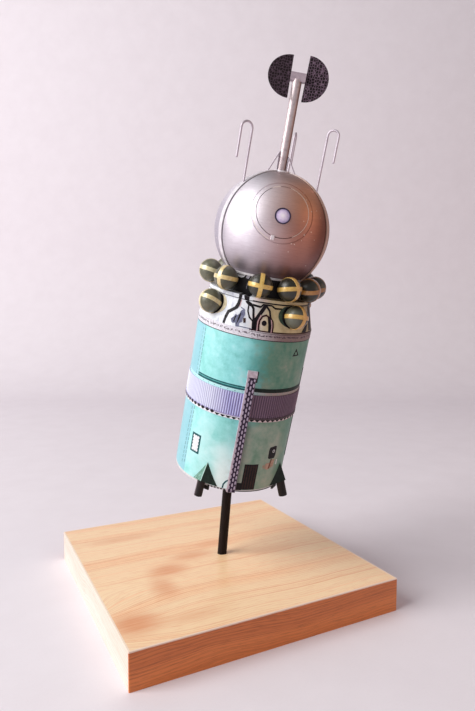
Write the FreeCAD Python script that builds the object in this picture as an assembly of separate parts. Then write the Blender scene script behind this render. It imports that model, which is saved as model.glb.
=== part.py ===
import FreeCAD, Part
import os
from math import acos, asin, cos, degrees, pi, radians, sin, sqrt, tan

# Display model of an early spacecraft on its upper stage, leaning on one rod over a wooden block.
# Millimetres, +Z up. The origin is the middle of the block's underside, X runs along its front edge.
# The stage has its own frame: origin at the middle of its flat bottom, +Z up its axis, and azimuths
# counted from its front (-Y), positive towards +X.

# Stand block
BLOCK_WIDTH = 150.0
BLOCK_DEPTH = 150.0
BLOCK_HEIGHT = 18.0
EDGING = 0.8
EDGING_ROUND = 0.5

# Stand rod: where it leaves the block, and where it meets the middle of the stage's bottom
ROD_DIAMETER = 5.5
ROD_HOLE_GAP = 0.1
ROD_HOLE_DEPTH = 10.0
ROD_FOOT_X = 4.16
ROD_FOOT_Y = -1.84
ROD_HEAD_X = 6.24
ROD_HEAD_Y = -7.15
STAGE_FOOT_X = 5.7
STAGE_FOOT_Y = -6.9
STAGE_FOOT_Z = 73.3

# How the stage stands: lean from upright, compass direction of the lean, turn about its own axis
LEAN = 15.2
LEAN_TOWARDS = -78.2
STAGE_TURN = -30.2

# Stage body
TANK_DIAMETER = 62.0
BOTTOM_THICK = 1.0
TANK_HEIGHT = 84.8
TOP_RING_HEIGHT = 4.2
TOP_RING_THICK = 1.0
TOP_RING_PROUD = 0.15

# Ribbed band and its plain hem
BAND_FOOT = 41.1
HEM_HEIGHT = 2.2
HEM_PROUD = 0.55
BAND_TOP = 55.7
BAND_FIT_GAP = 0.06
BAND_RIBS = 150
RIB_CREST = 0.45
RIB_VALLEY = 0.2

# Cable duct up the side
DUCT_AZIMUTH = 6.7
DUCT_WIDTH = 4.6
DUCT_HEIGHT = 65.3
DUCT_PROUD = 1.7
DUCT_CAP_HEIGHT = 3.2
DUCT_CAP_OVERLAP = 0.2

# Four steering-nozzle fairings with their tubes, and the tabs under the tank's rim
FAIRING_AZIMUTHS = (-20.7, 66.0, 156.0, 240.0)
FAIRING_APEX = 13.4
FAIRING_HALF_ANGLE = 13.9
FAIRING_CORNER = 1.0
FAIRING_TIP = 4.3
FAIRING_REACH = 5.4
NOZZLE_DIAMETERS = (4.4, 4.8, 4.6, 4.6)
NOZZLE_ASIDES = (-1.7, 1.2, 0.0, 0.0)
NOZZLE_SPLAYS = (9.0, 23.5, 16.0, 16.0)
NOZZLE_BORE = 3.0
NOZZLE_BORE_DEPTH = 2.5
NOZZLE_DROP = 5.5
NOZZLE_SKIN_GAP = 0.35
TAB_WIDTH = 5.4
TAB_THICK = 0.95
TAB_DROP = 2.8
TAB_INSET = 0.5

# Instrument cone with its rim, the drum above it and the seat of the capsule
CONE_HEIGHT = 13.5
CONE_TOP_DIAMETER = 54.6
RIM_HEIGHT = 2.3
RIM_THICK = 1.5
RIM_PROUD = 0.2
DRUM_DIAMETER = 44.0
DRUM_HEIGHT = 9.3
SEAT_HEIGHT = 1.0
SEAT_OVERHANG = 0.5

# Gas bottles, each with two crossed straps. The straps were laid by hand: how far each cross is
# rolled, tipped up and swung aside from straight, upper row first.
BOTTLE_DIAMETER = 12.0
BOTTLE_STRAP_WIDTH = 2.1
BOTTLE_STRAP_THICK = 0.25
UPPER_BOTTLE_RISE = 6.4
UPPER_AZIMUTHS = (-81.0, -40.0, -1.0, 30.0, 59.5, 90.0, 122.0, 160.0, 195.0, 230.0)
LOWER_BOTTLE_RISE = 9.0
LOWER_BOTTLE_OVERHANG = 0.4
LOWER_AZIMUTHS = (-50.0, 40.0, 130.0, 220.0)
CROSS_TILTS = (
    (-11.0, 11.0, 0.0),
    (-3.0, 6.5, 9.0),
    (2.0, 6.0, 5.0),
    (-5.0, 16.0, 15.0),
    (-8.0, 6.0, 6.0),
    (-5.0, 8.0, 0.0),
    (4.0, 5.0, 3.0),
    (-3.0, 8.0, -5.0),
    (5.0, 4.0, 2.0),
    (-2.0, 9.0, 6.0),
    (-11.0, 29.0, -13.0),
    (6.5, 14.0, 0.0),
    (3.0, 10.0, 4.0),
    (-6.0, 12.0, -4.0),
)

# Capsule ball and its hatch
BALL_DIAMETER = 60.2
BALL_CENTRE_RISE = 21.45
HATCH_AZIMUTH = 8.1
HATCH_LATITUDE = 22.7
HATCH_DIAMETER = 26.0
HATCH_DEPTH = 1.2
HATCH_GROOVE = 0.3
FRAME_LINE_OFFSET = 2.1
FRAME_LINE_WIDTH = 0.3
FRAME_LINE_DEPTH = 0.25
PORTHOLE_AZIMUTH = 8.0
PORTHOLE_LATITUDE = 17.4
PORTHOLE_DIAMETER = 7.8
PORTHOLE_BEZEL = 0.55
PORTHOLE_DEPTH = 0.8
PORTHOLE_PROUD = 0.3
LENS_CROWN = 0.5
HINGE_AZIMUTH = 1.9
HINGE_LATITUDE = -3.1
HINGE_WIDTH = 1.8
HINGE_HEIGHT = 2.2
HINGE_PROUD = 0.7
HINGE_ROOT = 0.6

# Straps over the ball and the crown they run up to
STRAP_AZIMUTHS = (-57.0, 68.0, 172.0)
STRAP_WIDTH = 3.0
STRAP_THICK = 0.5
CROWN_DIAMETER = 8.6
CROWN_THICK = 0.7

# Mast, its bent-wire struts, the cross bar and the two half-round vanes
MAST_DIAMETER = 4.75
MAST_LENGTH = 42.4
MAST_ASIDE = 0.8
MAST_LEAN = 0.3
MAST_FIT_GAP = 0.08
MAST_PLUG = 1.0
STRUT_WIRE = 0.75
STRUT_RISE = 8.6
STRUT_FOOT = 8.1
STRUT_RISE_SHARES = (1.08, 0.83, 1.0)
BAR_LENGTH = 7.6
BAR_SIZE = 4.1
BAR_ROUND = 0.4
BAR_ASIDE = 0.2
HEAD_ROLL = 0.9
VANE_RADIUS = 11.2
VANE_THICK = 0.6
LEFT_VANE_TILT = 21.0
LEFT_VANE_SWING = 5.5
RIGHT_VANE_TILT = 12.4
RIGHT_VANE_SWING = -2.8

# Hooked wire aerials: leg and bend of each as shares of the common sizes
HOOK_WIRE = 1.1
HOOK_LEG_RADIUS = 21.0
HOOK_RISE = 47.75
HOOK_BEND = 3.2
HOOK_TAIL = 13.5
HOOK_SHARES = ((1.03, 0.97, 0.95, 1.01), (0.955, 1.043, 0.87, 0.88), (1.02, 1.03, 0.98, 0.95))

# One overrun for every cutting tool
OVERRUN = 2.0

# Sizes that follow from those above
TANK_R = TANK_DIAMETER / 2
TANK_TOP = TANK_HEIGHT + TOP_RING_HEIGHT
CONE_TOP = TANK_TOP + CONE_HEIGHT
CONE_TOP_R = CONE_TOP_DIAMETER / 2
RIM_TOP = CONE_TOP + RIM_HEIGHT
DRUM_R = DRUM_DIAMETER / 2
DRUM_TOP = RIM_TOP + DRUM_HEIGHT
SEAT_TOP = DRUM_TOP + SEAT_HEIGHT
BOTTLE_R = BOTTLE_DIAMETER / 2
STRAPPED_R = BOTTLE_R + BOTTLE_STRAP_THICK
BALL_R = BALL_DIAMETER / 2
BALL_CENTRE = SEAT_TOP + BALL_CENTRE_RISE
BALL_TOP = BALL_CENTRE + BALL_R
STRAP_R = BALL_R + STRAP_THICK
MAST_R = MAST_DIAMETER / 2

Z = FreeCAD.Vector(0, 0, 1)


def vec(x, y, z):
    return FreeCAD.Vector(x, y, z)


def turn(shape, azimuth):
    """The shape, built at the front, swung about the stage's axis to its azimuth."""
    out = shape.copy()
    out.rotate(vec(0, 0, 0), Z, azimuth)
    return out


def stage_placement():
    """Where the stage's own frame lies in the stand's frame."""
    towards = radians(LEAN_TOWARDS)
    hinge = vec(-sin(towards), cos(towards), 0)
    turned = FreeCAD.Rotation(hinge, LEAN).multiply(FreeCAD.Rotation(Z, STAGE_TURN))
    return FreeCAD.Placement(vec(STAGE_FOOT_X, STAGE_FOOT_Y, STAGE_FOOT_Z), turned)


def on_stand(shape):
    """The shape carried from the stage's own frame to the stand's."""
    out = shape.copy()
    out.Placement = stage_placement().multiply(out.Placement)
    return out


def revolved(outline):
    """A closed outline of (radius, height) points, turned about the stage's axis."""
    points = [vec(r, 0, z) for r, z in outline]
    face = Part.Face(Part.makePolygon(points + points[:1]))
    return face.revolve(vec(0, 0, 0), Z, 360)


def ring(inner, outer, low, high):
    return revolved([(inner, low), (outer, low), (outer, high), (inner, high)])


def disc(radius, low, high):
    return Part.makeCylinder(radius, high - low, vec(0, 0, low))


def rod_between(start, end, radius):
    along = end - start
    return Part.makeCylinder(radius, along.Length, start, along)


def ball(radius, height=BALL_CENTRE):
    return Part.makeSphere(radius, vec(0, 0, height))


def aimed(azimuth, latitude):
    """Placement of a piece on the ball: its own +Z runs out of the ball's middle."""
    lifted = FreeCAD.Rotation(vec(1, 0, 0), 90 - latitude)
    swung = FreeCAD.Rotation(Z, azimuth)
    return FreeCAD.Placement(vec(0, 0, BALL_CENTRE), swung.multiply(lifted))


def on_ball(shape, azimuth, latitude):
    out = shape.copy()
    out.Placement = aimed(azimuth, latitude).multiply(out.Placement)
    return out


def chord_height(radius, across):
    """Height above the ball's middle of the circle of that half width."""
    return sqrt(radius**2 - across**2)


# Stand

def rod_ends():
    foot = vec(ROD_FOOT_X, ROD_FOOT_Y, BLOCK_HEIGHT)
    head = vec(ROD_HEAD_X, ROD_HEAD_Y, STAGE_FOOT_Z)
    along = (head - foot).normalize()
    return foot - along * ROD_HOLE_DEPTH, head + along * (BOTTOM_THICK + OVERRUN)


def stand_rod():
    """Black rod, sunk in the block and cut off flat under the tank inside the bottom disc."""
    low, high = rod_ends()
    rod = rod_between(low, high, ROD_DIAMETER / 2)
    above = Part.makeCylinder(TANK_R, TANK_HEIGHT, vec(0, 0, BOTTOM_THICK))
    return rod.cut(on_stand(above))


def rod_hole():
    low, high = rod_ends()
    return rod_between(low, high, ROD_DIAMETER / 2 + ROD_HOLE_GAP)


def stand_board():
    wide = BLOCK_WIDTH - 2 * EDGING
    deep = BLOCK_DEPTH - 2 * EDGING
    board = Part.makeBox(wide, deep, BLOCK_HEIGHT, vec(-wide / 2, -deep / 2, 0))
    return board.cut(rod_hole())


def upright_edges(shape, side):
    """The upright edges on one side of an edging strip, in Y."""
    found = []
    for edge in shape.Edges:
        ends = [v.Point for v in edge.Vertexes]
        upright = abs(ends[0].z - ends[1].z) > BLOCK_HEIGHT / 2
        if upright and ends[0].y * side > 0 and abs(ends[0].y) > BLOCK_DEPTH / 2 - EDGING / 2:
            found.append(edge)
    return found


def edging_front(side):
    """Front (-1) or back (1) strip, over the block's whole width, its outer corners eased."""
    low = -BLOCK_DEPTH / 2 if side < 0 else BLOCK_DEPTH / 2 - EDGING
    strip = Part.makeBox(BLOCK_WIDTH, EDGING, BLOCK_HEIGHT, vec(-BLOCK_WIDTH / 2, low, 0))
    return strip.makeFillet(min(EDGING_ROUND, EDGING / 2), upright_edges(strip, side))


def edging_side(side):
    """Left (-1) or right (1) strip, between the front and the back strip."""
    low = -BLOCK_WIDTH / 2 if side < 0 else BLOCK_WIDTH / 2 - EDGING
    deep = BLOCK_DEPTH - 2 * EDGING
    return Part.makeBox(EDGING, deep, BLOCK_HEIGHT, vec(low, -deep / 2, 0))


# Stage

def stage_tank():
    """Green body, stepped in at its top for the ring."""
    step = TANK_R - TOP_RING_THICK
    return revolved([
        (0, BOTTOM_THICK),
        (TANK_R, BOTTOM_THICK),
        (TANK_R, TANK_HEIGHT),
        (step, TANK_HEIGHT),
        (step, TANK_TOP),
        (0, TANK_TOP),
    ])


def bottom_disc():
    return on_stand(disc(TANK_R, 0, BOTTOM_THICK)).cut(rod_hole())


def top_ring():
    inner = TANK_R - TOP_RING_THICK
    return ring(inner, TANK_R + TOP_RING_PROUD, TANK_HEIGHT, TANK_TOP)


def duct_slot():
    """The room that the duct takes, cut from what goes round the tank."""
    slot = Part.makeBox(
        DUCT_WIDTH, TANK_R, TANK_HEIGHT, vec(-DUCT_WIDTH / 2, -TANK_R - DUCT_PROUD - OVERRUN, 0)
    )
    return turn(slot, DUCT_AZIMUTH)


def ribbed_band():
    """Corrugated band: a zigzag outline round the tank, open where the duct runs through it."""
    points = []
    for i in range(2 * BAND_RIBS):
        angle = pi * i / BAND_RIBS
        radius = TANK_R + (RIB_CREST if i % 2 else RIB_VALLEY)
        points.append(vec(radius * cos(angle), radius * sin(angle), BAND_FOOT + HEM_HEIGHT))
    face = Part.Face(Part.makePolygon(points + points[:1]))
    band = face.extrude(Z * (BAND_TOP - BAND_FOOT - HEM_HEIGHT))
    return band.cut(disc(TANK_R + BAND_FIT_GAP, 0, TANK_HEIGHT)).cut(duct_slot())


def band_hem():
    inner = TANK_R + BAND_FIT_GAP
    hem = ring(inner, TANK_R + HEM_PROUD, BAND_FOOT, BAND_FOOT + HEM_HEIGHT)
    return hem.cut(duct_slot())


def duct_length(low, high, widening):
    """A length of the duct's section, hollowed to the tank's curve behind."""
    wide = DUCT_WIDTH + 2 * widening
    deep = TANK_R + DUCT_PROUD + widening
    bar = Part.makeBox(wide, deep, high - low, vec(-wide / 2, -deep, low))
    behind = vec(-wide, -TANK_R * cos(asin(wide / TANK_DIAMETER)) / 2, low - OVERRUN)
    far_half = Part.makeBox(2 * wide, TANK_DIAMETER, high - low + 2 * OVERRUN, behind)
    return turn(bar.cut(far_half).cut(disc(TANK_R, low - OVERRUN, high + OVERRUN)), DUCT_AZIMUTH)


def cable_duct():
    return duct_length(0, DUCT_HEIGHT, 0)


def duct_cap():
    return duct_length(DUCT_HEIGHT, DUCT_HEIGHT + DUCT_CAP_HEIGHT, DUCT_CAP_OVERLAP)


# Steering nozzles, built at the front

def fairing_corners():
    """Apex, the two feet on the tank and the tip of the ridge."""
    half = radians(FAIRING_HALF_ANGLE)
    apex = vec(0, -TANK_R, FAIRING_APEX)
    left = vec(-TANK_R * sin(half), -TANK_R * cos(half), FAIRING_CORNER)
    right = vec(-left.x, left.y, left.z)
    tip = vec(0, -TANK_R - FAIRING_REACH, FAIRING_TIP)
    return apex, left, right, tip


def flat_solid(faces):
    """A solid bounded by flat faces, each given by its corners."""
    shell = Part.Shell([Part.Face(Part.makePolygon(list(f) + [f[0]])) for f in faces])
    return Part.Solid(shell)


def fairing():
    """Pyramid with one ridge, its back hollowed to the tank's curve."""
    apex, left, right, tip = fairing_corners()
    body = flat_solid([
        (apex, left, tip),
        (apex, tip, right),
        (apex, right, left),
        (left, right, tip),
    ])
    return body.cut(disc(TANK_R, 0, TANK_HEIGHT))


def nozzle_axis(splay, diameter):
    """A point of the tube's axis at the tank's bottom, and the direction down the tube."""
    slant = radians(splay)
    out = TANK_R + (diameter / 2 + NOZZLE_SKIN_GAP) / cos(slant)
    return vec(0, -out, 0), vec(0, -sin(slant), -cos(slant))


def nozzle(aside, splay, diameter):
    """Tube under the fairing, cut to the fairing's slanting base, with a blind bore below."""
    middle, down = nozzle_axis(splay, diameter)
    low = middle + down * (NOZZLE_DROP / -down.z)
    tube = turn(rod_between(middle - down * FAIRING_APEX, low, diameter / 2), aside)
    inner, outer = low - down * NOZZLE_BORE_DEPTH, low + down * OVERRUN
    bore = turn(rod_between(inner, outer, NOZZLE_BORE / 2), aside)
    apex, left, right, tip = fairing_corners()
    base = Part.Face(Part.makePolygon([
        vec(left.x * 2, left.y, left.z),
        vec(right.x * 2, right.y, right.z),
        vec(right.x * 2, tip.y * 2 - left.y, tip.z * 2 - left.z),
        vec(left.x * 2, tip.y * 2 - left.y, tip.z * 2 - left.z),
        vec(left.x * 2, left.y, left.z),
    ]))
    above = base.extrude(Z * 2 * FAIRING_APEX).fuse(disc(TANK_R, 0, TANK_HEIGHT))
    return tube.cut(above).cut(bore)


def rim_tab():
    """Short flat tab that hangs under the tank's rim behind a tube."""
    corner = vec(-TAB_WIDTH / 2, TAB_INSET - TANK_R, -TAB_DROP)
    return Part.makeBox(TAB_WIDTH, TAB_THICK, TAB_DROP, corner)


# Cone, drum and bottles

def bottle_places():
    """Azimuth, distance from the axis and height of each bottle, upper row first."""
    upper = (DRUM_R + STRAPPED_R, RIM_TOP + UPPER_BOTTLE_RISE)
    lower = (TANK_R + LOWER_BOTTLE_OVERHANG, TANK_TOP + LOWER_BOTTLE_RISE)
    places = [(azimuth,) + upper for azimuth in UPPER_AZIMUTHS]
    return places + [(azimuth,) + lower for azimuth in LOWER_AZIMUTHS]


def bottle(place):
    azimuth, out, height = place
    return turn(Part.makeSphere(BOTTLE_R, vec(0, -out, height)), azimuth)


def bottle_strap(place, tilts):
    """Two crossed straps round one bottle: one nearly level, one upright and facing outwards."""
    azimuth, out, height = place
    roll, tip, swing = [tan(radians(tilt)) for tilt in tilts]
    centre = vec(0, -out, height)
    shell = Part.makeSphere(STRAPPED_R, centre).cut(Part.makeSphere(BOTTLE_R, centre))
    hoops = []
    for axis in (vec(roll, tip, 1).normalize(), vec(1, swing, -roll).normalize()):
        start = centre - axis * (BOTTLE_STRAP_WIDTH / 2)
        slab = Part.makeCylinder(BOTTLE_DIAMETER, BOTTLE_STRAP_WIDTH, start, axis)
        hoops.append(shell.common(slab))
    return turn(hoops[0].fuse(hoops[1]), azimuth)


def bottle_straps():
    pairs = zip(bottle_places(), CROSS_TILTS)
    return Part.makeCompound([bottle_strap(place, tilts) for place, tilts in pairs])


def instrument_cone():
    """Cream cone with a spigot for its rim and a round pocket for each lower bottle."""
    spigot = CONE_TOP_R - RIM_THICK
    cone = revolved([
        (0, TANK_TOP),
        (TANK_R, TANK_TOP),
        (CONE_TOP_R, CONE_TOP),
        (spigot, CONE_TOP),
        (spigot, RIM_TOP),
        (0, RIM_TOP),
    ])
    return with_pockets(cone)


def with_pockets(shape):
    """The shape less the round room that each lower bottle takes with its straps."""
    for azimuth, out, height in bottle_places()[len(UPPER_AZIMUTHS):]:
        pocket = Part.makeSphere(STRAPPED_R, vec(0, -out, height))
        shape = shape.cut(turn(pocket, azimuth))
    return shape


def cone_rim():
    rim = ring(CONE_TOP_R - RIM_THICK, CONE_TOP_R + RIM_PROUD, CONE_TOP, RIM_TOP)
    return with_pockets(rim)


def waist_drum():
    """Black drum, dished at its top for the ball."""
    return disc(DRUM_R, RIM_TOP, DRUM_TOP).cut(ball(BALL_R))


def capsule_seat():
    return disc(DRUM_R + SEAT_OVERHANG, DRUM_TOP, SEAT_TOP).cut(ball(BALL_R))


# Capsule

def hatch_floor():
    return chord_height(BALL_R, HATCH_DIAMETER / 2) - HATCH_DEPTH


def capsule_ball():
    """Ball with the hatch's round recess and the fine line of the frame round it."""
    recess = disc(HATCH_DIAMETER / 2, hatch_floor(), BALL_R + OVERRUN)
    line_r = HATCH_DIAMETER / 2 + FRAME_LINE_OFFSET
    groove = ring(
        line_r - FRAME_LINE_WIDTH / 2, line_r + FRAME_LINE_WIDTH / 2, 0, BALL_R + OVERRUN
    ).cut(Part.makeSphere(BALL_R - FRAME_LINE_DEPTH))
    body = ball(BALL_R)
    for tool in (recess, groove):
        body = body.cut(on_ball(tool, HATCH_AZIMUTH, HATCH_LATITUDE))
    return body.cut(hinge_root())


def porthole_floor():
    return chord_height(BALL_R, PORTHOLE_DIAMETER / 2) - PORTHOLE_DEPTH


def hatch_lid():
    """Slice of the ball that fills the recess but for a groove all round."""
    lid = disc(HATCH_DIAMETER / 2 - HATCH_GROOVE, hatch_floor(), BALL_R + OVERRUN)
    lid = on_ball(lid, HATCH_AZIMUTH, HATCH_LATITUDE).common(ball(BALL_R))
    hole = disc(PORTHOLE_DIAMETER / 2, porthole_floor(), BALL_R + OVERRUN)
    return lid.cut(on_ball(hole, PORTHOLE_AZIMUTH, PORTHOLE_LATITUDE)).cut(hinge_root())


def porthole_bezel():
    outer = PORTHOLE_DIAMETER / 2
    top = chord_height(BALL_R, outer) + PORTHOLE_PROUD
    bezel = ring(outer - PORTHOLE_BEZEL, outer, porthole_floor(), top)
    return on_ball(bezel, PORTHOLE_AZIMUTH, PORTHOLE_LATITUDE)


def porthole_lens():
    """Pearly lens with a low crown."""
    outer = PORTHOLE_DIAMETER / 2 - PORTHOLE_BEZEL
    top = chord_height(BALL_R, outer)
    crown_r = (outer**2 + LENS_CROWN**2) / (2 * LENS_CROWN)
    lens = disc(outer, porthole_floor(), top + LENS_CROWN)
    lens = lens.common(Part.makeSphere(crown_r, vec(0, 0, top + LENS_CROWN - crown_r)))
    return on_ball(lens, PORTHOLE_AZIMUTH, PORTHOLE_LATITUDE)


def hinge_block(low, high, shrink):
    wide = HINGE_WIDTH - shrink
    tall = HINGE_HEIGHT - shrink
    return Part.makeBox(wide, tall, high - low, vec(-wide / 2, -tall / 2, low))


def hinge_root():
    """The room that the hinge's foot takes in the ball and the lid."""
    root = hinge_block(BALL_R - HINGE_ROOT, BALL_R + OVERRUN, 0)
    return on_ball(root, HINGE_AZIMUTH, HINGE_LATITUDE)


def hatch_hinge():
    block = hinge_block(BALL_R - HINGE_ROOT, BALL_R + HINGE_PROUD, 0)
    upper = [e for e in block.Edges if min(v.Z for v in e.Vertexes) > BALL_R]
    return on_ball(block.makeFillet(HINGE_PROUD / 2, upper), HINGE_AZIMUTH, HINGE_LATITUDE)


def capsule_strap(azimuth):
    """Flat strap bent over the ball along a meridian, from the seat up to the crown."""
    lowest = asin(-BALL_CENTRE_RISE / STRAP_R)
    highest = acos(CROWN_DIAMETER / BALL_DIAMETER)
    half = STRAP_WIDTH / 2
    section = [
        vec(-half, -BALL_R, 0),
        vec(half, -BALL_R, 0),
        vec(half, -STRAP_R, 0),
        vec(-half, -STRAP_R, 0),
    ]
    face = Part.Face(Part.makePolygon(section + section[:1]))
    face.rotate(vec(0, 0, 0), vec(-1, 0, 0), degrees(lowest))
    strap = face.revolve(vec(0, 0, 0), vec(-1, 0, 0), degrees(highest - lowest))
    strap.translate(vec(0, 0, BALL_CENTRE))
    return turn(strap, azimuth)


def crown():
    """Round plate bent to the ball's top, with the mast's hole."""
    plate = disc(CROWN_DIAMETER / 2, BALL_CENTRE, BALL_TOP + CROWN_THICK)
    plate = plate.common(ball(BALL_R + CROWN_THICK)).cut(ball(BALL_R))
    hole = mast_rod(MAST_R + MAST_FIT_GAP, MAST_LENGTH)
    return plate.cut(hole)


# Mast and its head

def mast_placement():
    """Frame of the mast: origin beside the ball's top, +Z up the mast, leaning to its left."""
    return FreeCAD.Placement(
        vec(-MAST_ASIDE, 0, BALL_TOP), FreeCAD.Rotation(vec(0, -1, 0), MAST_LEAN)
    )


def on_mast(shape):
    out = shape.copy()
    out.Placement = mast_placement().multiply(out.Placement)
    return out


def mast_rod(radius, length):
    return on_mast(Part.makeCylinder(radius, length + MAST_R, vec(0, 0, -MAST_R)))


def mast():
    return mast_rod(MAST_R, MAST_LENGTH + MAST_PLUG).cut(ball(BALL_R))


def strut(azimuth, share):
    """Wire bent to a narrow upside-down V: one leg down the mast, one out to the strap."""
    wire_r = STRUT_WIRE / 2
    beside = MAST_R + wire_r
    top = vec(0, -beside, STRUT_RISE * share)
    inner = vec(0, -beside, 0)
    outer = vec(0, -STRUT_FOOT, chord_height(BALL_R, STRUT_FOOT) - BALL_R)
    wire = rod_between(inner, top, wire_r).fuse(rod_between(outer, top, wire_r))
    wire = wire.fuse(Part.makeSphere(wire_r, top))
    wire = on_mast(turn(wire, azimuth))
    return wire.cut(ball(STRAP_R)).cut(disc(CROWN_DIAMETER / 2, BALL_CENTRE, BALL_TOP))


def mast_struts():
    """One strut over each strap, standing on the crown and on the strap."""
    wires = []
    for azimuth, share in zip(STRAP_AZIMUTHS, STRUT_RISE_SHARES):
        wires.append(strut(azimuth, share).cut(crown()).cut(capsule_strap(azimuth)))
    return Part.makeCompound(wires)


def on_head(shape):
    """The head's frame: origin in the middle of the cross bar, X along the bar."""
    out = shape.copy()
    rolled = FreeCAD.Rotation(vec(0, 1, 0), HEAD_ROLL)
    head = FreeCAD.Placement(vec(BAR_ASIDE, 0, MAST_LENGTH + BAR_SIZE / 2), rolled)
    out.Placement = head.multiply(out.Placement)
    return on_mast(out)


def cross_bar():
    half = BAR_SIZE / 2
    bar = Part.makeBox(BAR_LENGTH, BAR_SIZE, BAR_SIZE, vec(-BAR_LENGTH / 2, -half, -half))
    bar = bar.makeFillet(BAR_ROUND, [e for e in bar.Edges if e.Length > BAR_SIZE * 1.01])
    return on_head(bar).cut(mast())


def vane(side, tilt, swing):
    """Half-round card vane: its straight edge stands against the bar's end."""
    x = side * BAR_LENGTH / 2
    low = vec(x, -VANE_THICK / 2, -VANE_RADIUS)
    far = vec(x + side * VANE_RADIUS, -VANE_THICK / 2, 0)
    high = vec(x, -VANE_THICK / 2, VANE_RADIUS)
    edge = Part.Wire([Part.Arc(low, far, high).toShape(), Part.LineSegment(high, low).toShape()])
    plate = Part.Face(edge).extrude(vec(0, VANE_THICK, 0))
    plate.rotate(vec(0, 0, 0), vec(-1, 0, 0), tilt)
    plate.rotate(vec(x, 0, 0), Z, swing)
    return on_head(plate).cut(cross_bar())


# Hooked aerials

def hook(azimuth, shares):
    """Wire up from the strap, bent over outwards, with a short tail."""
    leg, rise, bend, tail = shares
    wire_r = HOOK_WIRE / 2
    leg_y = -HOOK_LEG_RADIUS * leg
    bend_r = HOOK_BEND * bend
    top = BALL_CENTRE + HOOK_RISE * rise
    foot = vec(0, leg_y, BALL_CENTRE)
    centre = vec(0, leg_y - bend_r, top)
    end = vec(0, leg_y - 2 * bend_r, top - HOOK_TAIL * tail)
    circle = Part.Face(Part.Wire(Part.makeCircle(wire_r, vec(0, leg_y, top), Z)))
    arc = circle.revolve(centre, vec(1, 0, 0), 180)
    wire = rod_between(foot, vec(0, leg_y, top), wire_r).fuse(arc)
    wire = wire.fuse(rod_between(end, vec(0, end.y, top), wire_r))
    wire = wire.fuse(Part.makeSphere(wire_r, end))
    return turn(wire.cut(ball(STRAP_R)), azimuth).cut(capsule_strap(azimuth))


def write(name, shape):
    """One file for a sub-part; a lone solid is written as a solid."""
    if not shape.isValid():
        raise ValueError(name + " is not a valid shape")
    shape = shape.removeSplitter()
    if len(shape.Solids) == 1:
        shape = shape.Solids[0]
    shape.exportStep("parts/" + name + ".step")


def write_stand():
    write("stand_board", stand_board())
    write("stand_edging_front", edging_front(-1))
    write("stand_edging_back", edging_front(1))
    write("stand_edging_left", edging_side(-1))
    write("stand_edging_right", edging_side(1))
    write("stand_rod", stand_rod())


def write_stage():
    write("bottom_disc", bottom_disc())
    plain = {
        "stage_tank": stage_tank,
        "top_ring": top_ring,
        "ribbed_band": ribbed_band,
        "band_hem": band_hem,
        "cable_duct": cable_duct,
        "duct_cap": duct_cap,
        "instrument_cone": instrument_cone,
        "cone_rim": cone_rim,
        "waist_drum": waist_drum,
        "bottle_straps": bottle_straps,
    }
    for name, make in plain.items():
        write(name, on_stand(make()))
    tubes = zip(NOZZLE_ASIDES, NOZZLE_SPLAYS, NOZZLE_DIAMETERS)
    for i, (azimuth, tube) in enumerate(zip(FAIRING_AZIMUTHS, tubes), 1):
        write(f"nozzle_fairing_{i}", on_stand(turn(fairing(), azimuth)))
        write(f"nozzle_tube_{i}", on_stand(turn(nozzle(*tube), azimuth)))
    tabs = Part.makeCompound([turn(rim_tab(), azimuth) for azimuth in FAIRING_AZIMUTHS])
    write("rim_tabs", on_stand(tabs))
    for i, place in enumerate(bottle_places(), 1):
        write(f"gas_bottle_{i:02d}", on_stand(bottle(place)))


def write_capsule():
    plain = {
        "capsule_seat": capsule_seat,
        "capsule_ball": capsule_ball,
        "hatch_lid": hatch_lid,
        "porthole_bezel": porthole_bezel,
        "porthole_lens": porthole_lens,
        "hatch_hinge": hatch_hinge,
        "crown": crown,
        "mast": mast,
        "mast_struts": mast_struts,
        "cross_bar": cross_bar,
    }
    for name, make in plain.items():
        write(name, on_stand(make()))
    for i, azimuth in enumerate(STRAP_AZIMUTHS, 1):
        write(f"capsule_strap_{i}", on_stand(capsule_strap(azimuth)))
        write(f"hook_aerial_{i}", on_stand(hook(azimuth, HOOK_SHARES[i - 1])))
    write("vane_left", on_stand(vane(-1, LEFT_VANE_TILT, LEFT_VANE_SWING)))
    write("vane_right", on_stand(vane(1, RIGHT_VANE_TILT, RIGHT_VANE_SWING)))


def main():
    os.makedirs("parts", exist_ok=True)
    write_stand()
    write_stage()
    write_capsule()


main()
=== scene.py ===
from functools import cached_property
from math import cos, degrees, pi, radians, sin

import bmesh
import bpy
from mathutils import Matrix, Vector


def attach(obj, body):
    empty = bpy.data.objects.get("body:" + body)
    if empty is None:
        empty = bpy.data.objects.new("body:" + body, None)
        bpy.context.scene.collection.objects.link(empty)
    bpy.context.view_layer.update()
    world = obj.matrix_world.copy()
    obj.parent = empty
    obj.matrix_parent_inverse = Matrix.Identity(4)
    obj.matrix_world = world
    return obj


# Looks of a card display model: a ball-shaped capsule on a green upper stage, leaning on a rod over
# a wooden block. Lengths are millimetres in the stage's own frame (origin at the middle of its
# bottom, +Z up its axis, azimuths from the front, -Y, positive towards +X) or in the block's frame.
# Colours are written as they look on screen, 0 to 255.

MM = 0.001

# How the stage stands
STAGE_FOOT = Vector((5.7, -6.9, 73.3))
LEAN = 15.2
LEAN_TOWARDS = -78.2
STAGE_TURN = -30.2

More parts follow.
